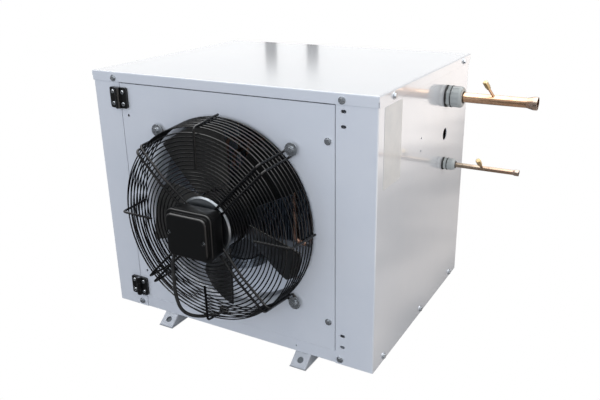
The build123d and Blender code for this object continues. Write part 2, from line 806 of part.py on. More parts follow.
def gland_pieces(gland, pipe_radius, z):
    """Body, seal, ring, nut, insert and locknut of one screwed gland round a pipe."""
    thread, flange, dome, end = gland["thread"], gland["flange"], gland["dome"], gland["length"]
    bore = pipe_radius + gland_bore_clearance
    lip = bore + insert_wall
    channel = lip + 0.2
    collar_end = seal_thick + gland_hex_share * end
    nut_start = collar_end + groove_width
    seal_bore = thread + 0.2
    seal = turned_z([
        (seal_bore, 0.2), (flange, 0.2), (flange, seal_thick - 1.2), (flange - 1.0, seal_thick - 0.2),
        (seal_bore, seal_thick - 0.2),
    ])
    stud = turned_z([
        (bore + 1.0, -thread_depth), (thread, -thread_depth), (thread, seal_thick), (bore + 1.0, seal_thick)
    ])
    collar = extrude(RegularPolygon(gland["hex"], 6) - Circle(bore + 1.0), collar_end - seal_thick)
    seat_cut = turned_z([
        (bore, collar_end - 1.2), (channel, collar_end - 1.2), (channel, end), (bore, end)
    ])
    body = joined(stud, Pos(0, 0, seal_thick) * collar) - seat_cut
    ring = turned_z([
        (lip + 0.3, collar_end + 0.1), (dome + 0.8, collar_end + 0.1),
        (dome + 0.8, nut_start - 0.1), (lip + 0.3, nut_start - 0.1),
    ])
    nut = turned_z([
        (lip + 0.3, nut_start), (dome, nut_start), (dome, end - 5.0),
        (dome - 1.5, end - 1.5), (dome - 3.2, end), (lip + 0.3, end),
    ])
    rib_end = end - 6.0
    groove = Pos(dome + 0.3, 0, (nut_start + rib_end) / 2) * Box(2.0, 1.6, rib_end - 2.0 - nut_start)
    for i in range(nut_ribs):
        nut = nut - Rot(0, 0, i * 360 / nut_ribs) * groove
    insert = turned_z([(bore, collar_end - 1.0), (lip, collar_end - 1.0), (lip, end + 0.6), (bore, end + 0.6)])
    locknut = extrude(RegularPolygon(flange, 6) - Circle(thread + 0.2), locknut_thick)
    locknut = Pos(0, 0, -sheet - 0.2 - locknut_thick) * locknut
    pieces = {"body": body, "seal": seal, "ring": ring, "nut": nut, "insert": insert, "locknut": locknut}
    return {name: along_x(piece, z) for name, piece in pieces.items()}


# ------------------------------------------------------------------ pipes through the glands
def pipe_end(radius, flare, taper, reach, z):
    """Hollow outer stretch of a pipe, with a swaged socket at its end."""
    start = half_width - 30.0
    end = half_width + reach
    bore = radius - pipe_wall
    mouth = flare - pipe_wall
    points = [
        (bore, start),
        (radius, start),
        (radius, end - socket_depth - taper),
        (flare, end - socket_depth),
        (flare, end),
        (mouth, end),
        (mouth, end - socket_depth),
        (bore, end - socket_depth - taper),
    ]
    profile = Plane.XZ * make_face(Polyline(*points, close=True))
    shape = revolve(profile, Axis.Z)
    return Pos(0, gland_setback, z) * Rot(0, 90, 0) * shape


def port_place(x, z, lean):
    """Where a service port stands on a pipe: its foot and its direction."""
    direction = Vector(*lean).normalized()
    return Plane(origin=(x, gland_setback, z), z_dir=direction)


suction_port = port_place(half_width + 95.0, suction_z, (-14.0, -18.0, 30.0))
liquid_port = port_place(half_width + 80.0, liquid_z, (-3.0, -23.0, 21.0))
suction_stem_length = 40.0
liquid_stem_length = 27.0


def with_port(pipe, plane, pipe_radius, length):
    """The pipe with the stem of a service port, whose foot stops at the pipe's bore."""
    stem = plane * rod_z(0, 0, port_stem_radius, 0, length)
    inside = rod_x(gland_setback, plane.origin.Z, pipe_radius - pipe_wall, 0, 2 * casing_width)
    return joined(pipe, stem - inside)


def port_cap(plane, stem_length):
    """Knurled brass cap over the end of a service port."""
    bottom = stem_length - 6.0
    cap = Pos(0, 0, bottom) * extrude(RegularPolygon(port_cap_radius, 10), port_cap_length)
    cap = chamfer(cap.edges().group_by(Axis.Z)[-1], 1.0)
    neck = rod_z(0, 0, port_cap_radius - 0.9, bottom - 4.0, bottom)
    hole = rod_z(0, 0, port_stem_radius + 0.15, 0, stem_length + 0.2)
    return plane * (joined(cap, neck) - hole)


compressor_half = compressor_pattern / 2
compressor_stud = 3.0
compressor_feet = [
    (compressor_x + sx * compressor_half, compressor_y + sy * compressor_half)
    for sx in (-1, 1)
    for sy in (-1, 1)
]
compressor_low = tray_floor + compressor_lift
compressor_top = liquid_z - compressor_headroom
suction_drop_x = compressor_x + compressor_radius + 50.0
suction_entry_z = compressor_low + suction_entry_rise
discharge_z = compressor_low + discharge_rise


def make_suction_pipe():
    outer = pipe_end(suction_radius, suction_flare_radius, suction_taper, suction_reach, suction_z)
    route = [
        (half_width - 30.0, gland_setback, suction_z),
        (suction_drop_x, gland_setback, suction_z),
        (suction_drop_x, compressor_y, suction_z),
        (suction_drop_x, compressor_y, suction_entry_z),
        (compressor_x + compressor_radius + 14.0, compressor_y, suction_entry_z),
    ]
    bend = 22.0
    inner = tube(route, [14.0, bend, bend], suction_radius)
    pipe = joined(outer, inner)
    return with_port(pipe, suction_port, suction_radius, suction_stem_length)


# ------------------------------------------------------------------ compressor
def make_compressor():
    """Welded steel shell with its seam, suction stub and discharge stub."""
    r = compressor_radius
    low, high = compressor_low + compressor_foot_gap, compressor_top
    seam = low + compressor_seam_share * (high - low)
    lower_shell = [(0, low), (r - 26.0, low), (r - 8.0, low + 9.0), (r, low + 26.0), (r, seam - 4.0)]
    seam_band = [(r + 2.5, seam - 2.0), (r + 2.5, seam + 2.0), (r - 1.5, seam + 4.0)]
    dome = [(r - 1.5, high - 42.0), (r - 9.0, high - 22.0), (r - 30.0, high - 6.0), (r - 56.0, high)]
    dome = dome + [(0, high)]
    shell = Pos(compressor_x, compressor_y, 0) * turned_z(lower_shell + seam_band + dome)

    def stub(z, pipe_radius, side, reach):
        near, far = compressor_x + side * (r - 8.0), compressor_x + side * (r + reach)
        socket = compressor_x + side * (r + 8.0)
        outer = rod_x(compressor_y, z, pipe_radius + 1.5, near, far)
        return outer - rod_x(compressor_y, z, pipe_radius + 0.2, socket, far + side)

    suction_stub = stub(suction_entry_z, suction_radius, 1, suction_stub_reach)
    discharge_stub = stub(discharge_z, line_radius, -1, discharge_stub_reach)
    return joined(shell, suction_stub, discharge_stub)


def make_compressor_base():
    size = compressor_pattern + 30.0
    plate = Pos(compressor_x, compressor_y, compressor_low + 2.0) * Box(size, size, 4.0)
    plate = fillet(plate.edges().filter_by(Axis.Z), 16.0)
    waist = compressor_radius * 0.55
    cut = Pos(compressor_x, compressor_y, compressor_low) * Cylinder(waist, 20)
    plate = plate - cut
    for x, y in compressor_feet:
        plate = plate - rod_z(x, y, 7.0, compressor_low - 1, compressor_low + 6)
    return plate


def compressor_mounts():
    grommets, bolts = [], []
    for x, y in compressor_feet:
        bore = compressor_stud + 0.3
        below = [(bore, tray_floor + 0.1), (12.0, tray_floor + 0.1), (12.0, compressor_low - 0.2)]
        waist = [(6.7, compressor_low - 0.2), (6.7, compressor_low + 4.3)]
        above = [(10.0, compressor_low + 4.3), (10.0, compressor_low + 8.0), (bore, compressor_low + 8.0)]
        profile = below + waist + above
        grommets.append(Pos(x, y, 0) * turned_z(profile))
        head = Pos(x, y, compressor_low + 10.2) * extrude(RegularPolygon(6.5, 6), 5.0)
        disc = rod_z(x, y, 10.0, compressor_low + 8.2, compressor_low + 10.2)
        stud = rod_z(x, y, compressor_stud, base_z + 0.2, compressor_low + 9.0)
        bolts.append(joined(stud, disc, head))
    return grommets, bolts


def make_compressor_cover():
    """Moulded cover over the compressor's terminals and overload protector."""
    face = compressor_y - compressor_radius
    low, high = suction_entry_z - 45.0, suction_entry_z + 25.0
    cover = block(compressor_x - 30.0, compressor_x + 30.0, face - 24.0, face + 20.0, low, high)
    cover = fillet(cover.edges().filter_by(Axis.Y), 6.0)
    cover = fillet(cover.edges().group_by(Axis.Y)[0], 4.0)
    body = rod_z(compressor_x, compressor_y, compressor_radius + 2.8, 0, top_z)
    return (cover - body).solids().sort_by(Axis.Y)[0]


# ------------------------------------------------------------------ condenser coil
def make_coil():
    """Finned block as a comb, its fins upright on both faces of a core."""
    width = coil_width - 2.0
    core = Rectangle(width, coil_core)
    count = int((width - fin_thick) / fin_pitch)
    start = -count * fin_pitch / 2
    fins = [Pos(start + i * fin_pitch, 0) * Rectangle(fin_thick, coil_thick) for i in range(count + 1)]
    comb = core + fins
    low = tray_floor + 0.3
    return Pos(0, (coil_front + coil_back) / 2, low) * extrude(comb, coil_height)


def coil_levels():
    step = coil_height / (2 * coil_rows)
    return [tray_floor + step * (i + 0.5) for i in range(2 * coil_rows)]


def make_end_plate(side):
    """Upright plate at one end of the coil, with an ear folded out along the back."""
    low = tray_floor + 0.3
    high = low + coil_height
    x0, x1 = sorted((side * (coil_width / 2 - 0.8), side * (coil_width / 2 + 0.7)))
    plate = block(x0, x1, coil_front - 3.0, coil_back, low, high)
    ear_x0, ear_x1 = sorted((side * (coil_width / 2 + 0.7), side * (coil_width / 2 + 25.0)))
    return joined(plate, block(ear_x0, ear_x1, coil_back - sheet, coil_back, low, high))


def make_return_bends(side):
    """U-bends that join neighbouring coil tubes outside an end plate."""
    x = side * (coil_width / 2 + 0.9)
    y = coil_front + coil_thick * 0.4
    levels = coil_levels()
    step = levels[1] - levels[0]
    offset = 0 if side > 0 else 1
    bends = []
    for i in range(offset, len(levels) - 1, 2):
        middle = (levels[i] + levels[i + 1]) / 2
        path = ThreePointArc((x, y, levels[i]), (x + side * step / 2, y, middle), (x, y, levels[i + 1]))
        start = Plane(origin=path @ 0, z_dir=path % 0)
        bends.append(sweep(start * RegularPolygon(bend_tube_radius, wire_sides), path=path))
    return bends


# ------------------------------------------------------------------ receiver, drier and lines
receiver_low = tray_floor + receiver_lift
receiver_top = liquid_z - receiver_headroom
receiver_port_offset = 20.0
valve_top = receiver_top + 30.0
drier_x = receiver_x + 95.0
drier_y = gland_setback
liquid_rise = liquid_z


def make_receiver():
    """Upright vessel with domed ends and an inlet stub in its top."""
    r, low, high = receiver_radius, receiver_low, receiver_top
    lower_end = [(0, low), (r - 18.0, low), (r - 4.0, low + 7.0), (r, low + 20.0)]
    upper_end = [(r, high - 20.0), (r - 4.0, high - 7.0), (r - 18.0, high), (0, high)]
    body = Pos(receiver_x, receiver_y, 0) * turned_z(lower_end + upper_end)
    inlet_x = receiver_x - receiver_port_offset
    inlet = rod_z(inlet_x, receiver_y, inner_line_radius + 1.4, high - 5.0, high + 14.0)
    inlet = inlet - rod_z(inlet_x, receiver_y, inner_line_radius + 0.2, high + 4.0, high + 15.0)
    return joined(body, inlet)


def make_receiver_stand():
    """Turned foot ring with a flat flange that is bolted to the tray."""
    r = receiver_radius
    ring = turned_z([
        (r - 16.0, tray_floor + 0.1), (r + 10.0, tray_floor + 0.1), (r + 10.0, tray_floor + 2.1),
        (r - 9.0, tray_floor + 2.1), (r - 9.0, receiver_low - 0.3), (r - 11.0, receiver_low - 0.3),
        (r - 11.0, tray_floor + 2.1), (r - 16.0, tray_floor + 2.1),
    ])
    return Pos(receiver_x, receiver_y, 0) * ring


def make_receiver_valve():
    """Brass shut-off valve on top of the receiver."""
    x = receiver_x + receiver_port_offset
    stem = rod_z(x, receiver_y, 7.0, receiver_top + 0.3, valve_top)
    hexagon = Pos(x, receiver_y, receiver_top + 8.0) * extrude(RegularPolygon(11.0, 6), 12.0)
    spindle = rod_y(x, receiver_top + 14.0, 5.5, receiver_y - 26.0, receiver_y)
    cap = Rot(90, 0, 0) * extrude(RegularPolygon(7.5, 6), 11.0)
    cap = Pos(x, receiver_y - 24.0, receiver_top + 14.0) * cap
    body = joined(stem, hexagon, spindle, cap)
    return body - rod_z(x, receiver_y, inner_line_radius + 0.2, valve_top - 9.0, valve_top + 1)


def make_receiver_line():
    x = receiver_x + receiver_port_offset
    route = [
        (x, receiver_y, valve_top - 8.5),
        (x, receiver_y, liquid_rise),
        (x, drier_y, liquid_rise),
        (drier_x - drier_length / 2 + 6.0, drier_y, liquid_rise),
    ]
    return tube(route, [16.0, 16.0], inner_line_radius)


def make_drier():
    """Filter drier: a drum with a cone and a soldered stub at each end."""
    half = drier_length / 2
    bore, stub = inner_line_radius + 0.2, inner_line_radius + 2.0
    lower_end = [(bore, -half), (stub, -half), (stub, -half + 12.0), (drier_radius, -half + 26.0)]
    upper_end = [(r, -z) for r, z in reversed(lower_end)]
    shell = turned_z(lower_end + upper_end)
    plug = Cylinder(inner_line_radius + 0.3, drier_length - 14.0)
    body = joined(shell, plug)
    return Pos(drier_x, drier_y, liquid_rise) * Rot(0, 90, 0) * body


def make_liquid_pipe():
    outer = pipe_end(liquid_radius, liquid_flare_radius, liquid_taper, liquid_reach, liquid_z)
    drier_end = drier_x + drier_length / 2 - 6.5
    inner = rod_x(gland_setback, liquid_z, liquid_radius, drier_end, half_width - 30.0)
    return with_port(joined(outer, inner), liquid_port, liquid_radius, liquid_stem_length)


def make_discharge_line():
    levels = coil_levels()
    y = coil_front + coil_thick * 0.4
    wall = -coil_width / 2 - 0.9
    run_y = coil_front - 16.0
    left = wall - 17.0
    route = [
        (compressor_x - compressor_radius - 8.5, compressor_y, discharge_z),
        (compressor_x - compressor_radius - 50.0, compressor_y, discharge_z),
        (compressor_x - compressor_radius - 50.0, compressor_y, levels[-1]),
        (compressor_x - compressor_radius - 50.0, run_y, levels[-1]),
        (left, run_y, levels[-1]),
        (left, y, levels[-1]),
        (wall, y, levels[-1]),
    ]
    return tube(route, [16.0, 20.0, 20.0, 14.0, 14.0], line_radius)


def make_condensate_line():
    levels = coil_levels()
    y = coil_front + coil_thick * 0.4
    wall = -coil_width / 2 - 0.9
    left = wall - 17.0
    level = levels[0] + 12.0
    over = receiver_top + 45.0
    x = receiver_x - receiver_port_offset
    route = [
        (wall, y, level),
        (left, y, level),
        (left, coil_front - 34.0, level),
        (left, coil_front - 34.0, over),
        (x, coil_front - 34.0, over),
        (x, receiver_y, over),
        (x, receiver_y, receiver_top + 4.5),
    ]
    return tube(route, [12.0, 14.0, 20.0, 16.0, 16.0], inner_line_radius)


# ------------------------------------------------------------------ controls
control_x = -half_width + sheet + 0.3
control_deep = 62.0
control_wall = 2.0
control_y0, control_y1 = 110.0, 250.0
control_z0, control_z1 = top_z - 290.0, top_z - 90.0


def make_control_box():
    wall = control_wall
    box = block(control_x, control_x + control_deep - wall, control_y0, control_y1, control_z0, control_z1)
    inside = block(
        control_x + wall, control_x + control_deep, control_y0 + wall, control_y1 - wall,
        control_z0 + wall, control_z1 - wall,
    )
    return box - inside


def make_control_cover():
    x0 = control_x + control_deep - 1.9
    plate = block(x0, x0 + 1.5, control_y0 - 1.0, control_y1 + 1.0, control_z0 - 1.0, control_z1 + 1.0)
    return fillet(plate.edges().filter_by(Axis.X), 3.0)


# ------------------------------------------------------------------ motor cable
# The route is chosen by hand: out of the terminal box, down to the guard's lower rim and
# back to the grommet in the door.
cable_exit = box_gland_place * Pos(0, 0, 16.0)
cable_route = [
    tuple(cable_exit.position),
    (-62.5, -90.4, fan_z - 68.0),
    (-60.0, -93.0, fan_z - 104.0),
    (-60.0, -93.0, fan_z - 142.0),
    (-52.0, -88.0, fan_z - guard_foot_radius + 14.0),
    (-34.0, -66.0, fan_z - guard_foot_radius - 3.0),
    (-22.0, -34.0, fan_z - guard_foot_radius - 11.0),
    (grommet_x, -16.0, grommet_z),
    (grommet_x, 1.0, grommet_z),
]


def route_radii(points):
    """As large an arc at each corner as its two runs allow."""
    radii = []
    for a, b, c in zip(points, points[1:], points[2:]):
        first, second = Vector(*b) - Vector(*a), Vector(*c) - Vector(*b)
        turn = math.radians(first.get_angle(second))
        radii.append(0.45 * min(first.length, second.length) / math.tan(turn / 2))
    return radii


def make_motor_cable():
    radii = route_radii(cable_route)
    print("motor cable radii", [round(r, 1) for r in radii])
    cable = tube(cable_route, radii, motor_cable_radius)
    path = FilletPolyline(*cable_route, radius=radii)
    section = math.pi * motor_cable_radius**2
    print("cable volume", cable.volume, "section times length", section * path.length)
    return cable


def make_grommet():
    inner = motor_cable_radius + 0.2
    outer = grommet_radius - 0.2
    points = [
        (inner, -3.0), (outer + 2.5, -3.0), (outer + 2.5, -0.2), (outer, -0.2), (outer, sheet + 0.2),
        (outer + 2.0, sheet + 0.2), (outer + 2.0, sheet + 2.7), (inner, sheet + 2.7),
    ]
    return Pos(grommet_x, 0, grommet_z) * turned(points)


# ------------------------------------------------------------------ write every node
save("base_tray", make_tray())
save("foot_rail_left", make_foot(-1))
save("foot_rail_right", make_foot(1))
save("left_panel", make_left_panel())
save("right_panel", make_right_panel())
save("lid", make_lid())
save("door_frame", make_door_frame())
save("door_gasket", make_gasket())

lid_face = -lid_clearance - sheet
save(
    "lid_screws",
    *[hex_screw_y(x, z, lid_face, sheet + 6.0) for x, z in lid_screw_front],
    *[
        Pos(0, casing_depth, 0) * Rot(0, 0, 180) * hex_screw_y(-x, z, lid_face, 2.0)
        for x, z in lid_screw_front
    ],
    *[hex_screw_x(y, z, side, lid_half_x, 12.0) for y, z in lid_screw_side for side in (-1, 1)],
)
save(
    "base_screws",
    *[hex_screw_y(x, z, 0, 12.0) for x, z in base_screw_front],
    *[hex_screw_x(y, z, side, half_width, 12.0) for y, z in base_screw_side for side in (-1, 1)],
)

leaf_sets = [hinge_leaf_pair(level) for level in hinge_levels]
save("hinge_fixed_leaves", *[fixed for fixed, moving, pin in leaf_sets])
save("hinge_door_leaves", *[moving for fixed, moving, pin in leaf_sets])
save("hinge_pins", *[pin for fixed, moving, pin in leaf_sets])
hinge_face = -seat - hinge_leaf
hinge_rises = [level + rise for level in hinge_levels for rise in (-hinge_screw_rise, hinge_screw_rise)]
for name, offset in (("hinge_fixed_screws", -hinge_screw_offset), ("hinge_door_screws", hinge_screw_offset)):
    save(name, *[pan_screw_y(pin_x + offset, z, hinge_face, 8.0) for z in hinge_rises])

save("fan_door", make_door())
save("door_screws", *[hex_screw_y(latch_x, z, 0, frame_back + 4.0) for z in latch_levels])
save("guard_rings", *make_guard_rings())
save("guard_spokes", make_guard_spokes())
washer_face = -2 * spoke_wire - 0.8
save(
    "guard_washers",
    *[rod_y(x, z, washer_radius, washer_face - washer_thick, washer_face)
      - rod_y(x, z, 3.3, washer_face - washer_thick - 1, washer_face + 1) for x, z in guard_bolts],
)
save("guard_bolts", *[hex_screw_y(x, z, washer_face - washer_thick - 0.1, 10.0) for x, z in guard_bolts])
save("motor_flange", make_motor_flange())
save("motor_stator", make_stator())
save("motor_rotor", make_rotor())
save("motor_shaft", make_shaft())
save("fan_impeller", make_impeller())
save("terminal_box_base", make_box_base())
save("terminal_box_lid", make_box_lid())
save("terminal_box_screws", *[pan_screw_y(x, z, -box_front + 4.9, -box_split + 6.0) for x, z in box_screws])
save("terminal_box_gland", make_box_gland())
save("motor_cable", make_motor_cable())
save("cable_grommet", make_grommet())

suction_set = gland_pieces(suction_gland, suction_radius, suction_z)
liquid_set = gland_pieces(liquid_gland, liquid_radius, liquid_z)
for label, pieces in (("suction", suction_set), ("liquid", liquid_set)):
    save(label + "_gland_body", pieces["body"])
    save(label + "_gland_nut", pieces["nut"])
for label in ("seal", "insert", "locknut"):
    save("gland_" + label + "s", suction_set[label], liquid_set[label])
save("gland_nut_rings", suction_set["ring"], liquid_set["ring"])
save("suction_pipe", make_suction_pipe())
save("liquid_pipe", make_liquid_pipe())
save("port_caps", port_cap(suction_port, suction_stem_length), port_cap(liquid_port, liquid_stem_length))

grommets, studs = compressor_mounts()
save("compressor", make_compressor())
save("compressor_base", make_compressor_base())
save("compressor_grommets", *grommets)
save("compressor_bolts", *studs)
save("compressor_terminal_cover", make_compressor_cover())
save("condenser_coil", make_coil())
save("condenser_end_plates", make_end_plate(-1), make_end_plate(1))
save("condenser_return_bends", *make_return_bends(-1), *make_return_bends(1))
save("liquid_receiver", make_receiver())
save("receiver_stand", make_receiver_stand())
save("receiver_valve", make_receiver_valve())
save("receiver_line", make_receiver_line())
save("filter_drier", make_drier())
save("discharge_line", make_discharge_line())
save("condensate_line", make_condensate_line())
save("control_box", make_control_box())
save("control_box_cover", make_control_cover())
print("nodes", len(os.listdir("parts")))
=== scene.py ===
"""Looks of a refrigeration condensing unit in a sheet-metal casing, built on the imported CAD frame.

Every length is in metres. Places come from the frame's own boxes.
"""

import json
import math
import random

import bmesh
import bpy
from mathutils import Matrix, Vector


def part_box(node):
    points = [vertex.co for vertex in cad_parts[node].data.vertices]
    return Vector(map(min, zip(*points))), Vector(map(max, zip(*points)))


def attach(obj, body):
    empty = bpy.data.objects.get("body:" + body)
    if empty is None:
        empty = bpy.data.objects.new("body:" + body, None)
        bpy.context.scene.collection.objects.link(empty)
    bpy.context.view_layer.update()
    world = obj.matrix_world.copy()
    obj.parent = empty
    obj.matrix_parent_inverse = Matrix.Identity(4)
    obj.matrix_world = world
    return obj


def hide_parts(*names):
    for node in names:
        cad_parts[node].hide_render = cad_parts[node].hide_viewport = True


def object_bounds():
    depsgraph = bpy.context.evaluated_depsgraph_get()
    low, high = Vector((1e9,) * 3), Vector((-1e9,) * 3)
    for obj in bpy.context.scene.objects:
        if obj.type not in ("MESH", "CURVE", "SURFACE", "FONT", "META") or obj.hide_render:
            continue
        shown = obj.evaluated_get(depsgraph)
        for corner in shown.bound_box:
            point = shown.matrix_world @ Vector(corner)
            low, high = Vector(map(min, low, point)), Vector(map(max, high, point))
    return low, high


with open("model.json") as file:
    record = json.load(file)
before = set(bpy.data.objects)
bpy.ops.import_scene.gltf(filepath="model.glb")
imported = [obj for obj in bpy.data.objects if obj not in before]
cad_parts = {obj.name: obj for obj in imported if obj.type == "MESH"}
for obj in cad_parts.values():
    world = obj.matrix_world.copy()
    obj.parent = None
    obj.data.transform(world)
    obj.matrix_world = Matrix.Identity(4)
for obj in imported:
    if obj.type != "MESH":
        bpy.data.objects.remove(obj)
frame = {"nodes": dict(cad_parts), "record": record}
cad_low, cad_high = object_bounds()
random.seed(7)


# ------------------------------------------------------------------ places read from the frame
casing_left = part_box("left_panel")[0].x
casing_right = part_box("right_panel")[1].x
casing_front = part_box("fan_door")[0].y
casing_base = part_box("base_tray")[0].z
casing_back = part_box("base_tray")[1].y
casing_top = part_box("lid")[1].z
rings_low, rings_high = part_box("guard_rings")
fan_x = (rings_low.x + rings_high.x) / 2
fan_z = (rings_low.z + rings_high.z) / 2


# ------------------------------------------------------------------ small helpers
def srgb(red, green, blue):
    """Linear colour from 0-255 display values."""
    def linear(value):
        share = value / 255
        return share / 12.92 if share <= 0.04045 else ((share + 0.055) / 1.055) ** 2.4
    return (linear(red), linear(green), linear(blue), 1.0)


class Graph:
    """Adds shader nodes to a tree and links them by socket name."""

    def __init__(self, tree):
        self.tree = tree
        tree.nodes.clear()

    def add(self, kind, settings=None, **inputs):
        node = self.tree.nodes.new(kind)
        for name, value in (settings or {}).items():
            setattr(node, name, value)
        for name, value in inputs.items():
            self.set(node.inputs[name.replace("_", " ")], value)
        return node

    def set(self, socket, value):
        if isinstance(value, bpy.types.NodeSocket):
            self.tree.links.new(value, socket)
        else:
            socket.default_value = value

    def ramp(self, value, low, high, start=0.0, end=1.0):
        """value from low..high mapped to start..end, clamped."""
        node = self.add("ShaderNodeMapRange")
        for name, amount in (
            ("Value", value), ("From Min", low), ("From Max", high), ("To Min", start), ("To Max", end)
        ):
            self.set(node.inputs[name], amount)
        return node.outputs[0]

    def mix(self, share, first, second):
        node = self.add("ShaderNodeMix", {"data_type": "RGBA"})
        self.set(node.inputs[0], share)
        self.set(node.inputs[6], first)
        self.set(node.inputs[7], second)
        return node.outputs[2]

    def maths(self, operation, first, second=0.0):
        node = self.add("ShaderNodeMath", {"operation": operation})
        self.set(node.inputs[0], first)
        self.set(node.inputs[1], second)
        return node.outputs[0]

    def noise(self, place, scale, detail=3.0, roughness=0.5):
        node = self.add("ShaderNodeTexNoise")
        self.set(node.inputs["Vector"], place)
        self.set(node.inputs["Scale"], scale)
        self.set(node.inputs["Detail"], detail)
        self.set(node.inputs["Roughness"], roughness)
        return node.outputs["Fac"]


def surface(
    name, colour, shade=None, rough=0.4, rough_spread=0.1, metal=0.0, coat=0.0, patch=18.0,
    grain=900.0, grain_depth=0.00002, worn=None, worn_amount=0.5, edge=0.0006, tint=None, specular=0.5,
):
    """A finish with colour patches, a fine grain, uneven gloss, rounded and worn edges."""
    material = bpy.data.materials.new(name)
    material.use_nodes = True
    graph = Graph(material.node_tree)
    place = graph.add("ShaderNodeTexCoord").outputs["Object"]
    patches = graph.noise(place, patch, 4.0, 0.6)
    fine = graph.noise(place, grain, 2.0, 0.6)
    base = graph.mix(graph.ramp(patches, 0.35, 0.65), colour, shade or colour)
    if tint:
        base = tint(graph, place, base)
    geometry = graph.add("ShaderNodeNewGeometry")
    rounded = graph.add("ShaderNodeBevel", {"samples": 4}, Radius=edge).outputs[0]
    turn = graph.add("ShaderNodeVectorMath", {"operation": "DOT_PRODUCT"})
    graph.set(turn.inputs[0], rounded)
    graph.set(turn.inputs[1], geometry.outputs["Normal"])
    at_edge = graph.ramp(turn.outputs["Value"], 0.98, 0.8)
    rubbed = graph.maths("MULTIPLY", at_edge, graph.ramp(graph.noise(place, 160.0, 3.0), 0.45, 0.62))
    rubbed = graph.maths("MULTIPLY", rubbed, worn_amount)
    base = graph.mix(rubbed, base, worn or colour)
    gloss = graph.ramp(patches, 0.3, 0.7, rough - rough_spread / 2, rough + rough_spread / 2)
    bump = graph.add("ShaderNodeBump", Strength=0.6, Distance=grain_depth, Height=fine, Normal=rounded)
    shader = graph.add("ShaderNodeBsdfPrincipled")
    for socket, value in (
        ("Base Color", base), ("Roughness", gloss), ("Metallic", metal), ("Coat Weight", coat),
        ("Coat Roughness", 0.08), ("Specular IOR Level", specular), ("Normal", bump.outputs[0]),
    ):
        graph.set(shader.inputs[socket], value)
    output = graph.add("ShaderNodeOutputMaterial")
    graph.set(output.inputs["Surface"], shader.outputs[0])
    return material


# ------------------------------------------------------------------ finishes
def heat_stain(start, end):
    """Copper that turns from bright orange to brown and grey near a brazed end, along X."""
    def tint(graph, place, base):
        along = graph.add("ShaderNodeSeparateXYZ", Vector=place).outputs["X"]
        wander = graph.ramp(graph.noise(place, 70.0, 3.0), 0.3, 0.7, -0.006, 0.006)
        along = graph.maths("ADD", along, wander)
        brown = graph.mix(graph.ramp(along, start, end), base, srgb(160, 134, 116))
        return graph.mix(graph.ramp(along, end, end + 0.012), brown, srgb(158, 146, 136))
    return tint


def streaks(colour, scale=60.0, amount=0.5):
    """Smears of another colour."""
    def tint(graph, place, base):
        smear = graph.ramp(graph.noise(place, scale, 5.0, 0.7), 0.52, 0.75, 0.0, amount)
        return graph.mix(smear, base, colour)
    return tint


def spangle(graph, place, base):
    """Zinc crystals."""
    cells = graph.add("ShaderNodeTexVoronoi", Vector=place, Scale=220.0)
    return graph.mix(graph.ramp(cells.outputs["Distance"], 0.0, 0.7, 0.0, 0.5), base, srgb(150, 154, 158))


flare_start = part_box("suction_pipe")[1].x - 0.035
flare_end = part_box("suction_pipe")[1].x - 0.012
liquid_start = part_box("liquid_gland_nut")[1].x + 0.01
liquid_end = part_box("liquid_pipe")[1].x - 0.016

